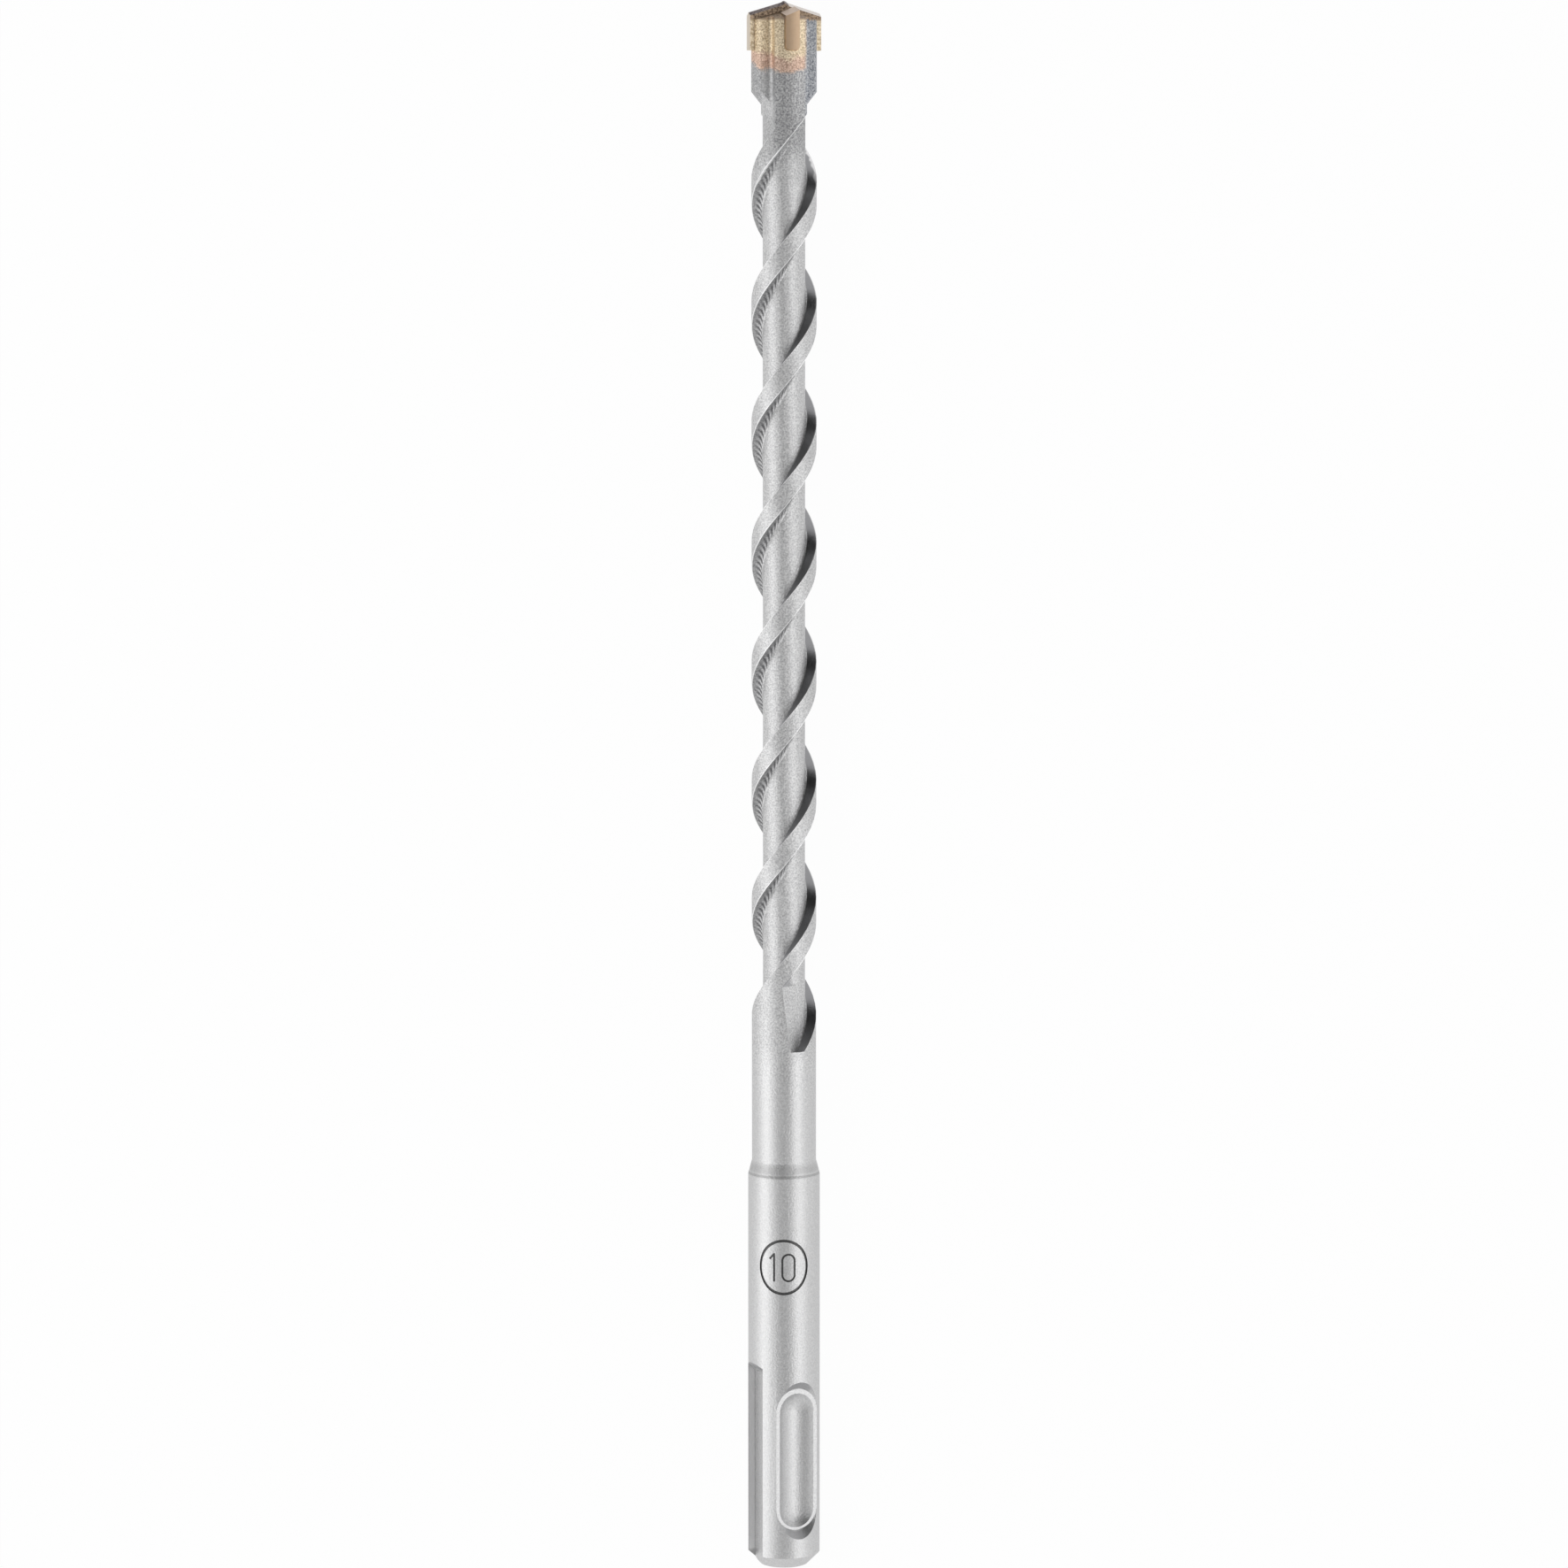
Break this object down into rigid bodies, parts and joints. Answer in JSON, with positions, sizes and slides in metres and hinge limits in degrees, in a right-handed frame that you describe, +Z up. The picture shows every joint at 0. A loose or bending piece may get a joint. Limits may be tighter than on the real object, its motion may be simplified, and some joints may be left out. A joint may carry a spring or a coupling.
{
  "type": "rotary hammer drill bit",
  "caption": "Hammer drill bit with a grooved quick-change shank, twin helical flutes and a ribbed head carrying brazed carbide cutters in a cross.",
  "frame": {"origin": "centre of the striking face at the end of the shank, on the bit's axis", "axes": "+Y along the axis towards the point, +Z up with the bit lying on its side"},
  "size_m": [0.01, 0.215, 0.01],
  "materials": {
    "steel": "fine blasted",
    "carbide": "ground",
    "braze": "as brazed"
  },
  "bodies": {
    "root": {"shaft": "steel", "main_cutter": "carbide", "side_cutter_front": "carbide", "side_cutter_back": "carbide", "main_braze": "braze", "side_braze_front": "braze", "side_braze_back": "braze"}
  },
  "joints": []
}
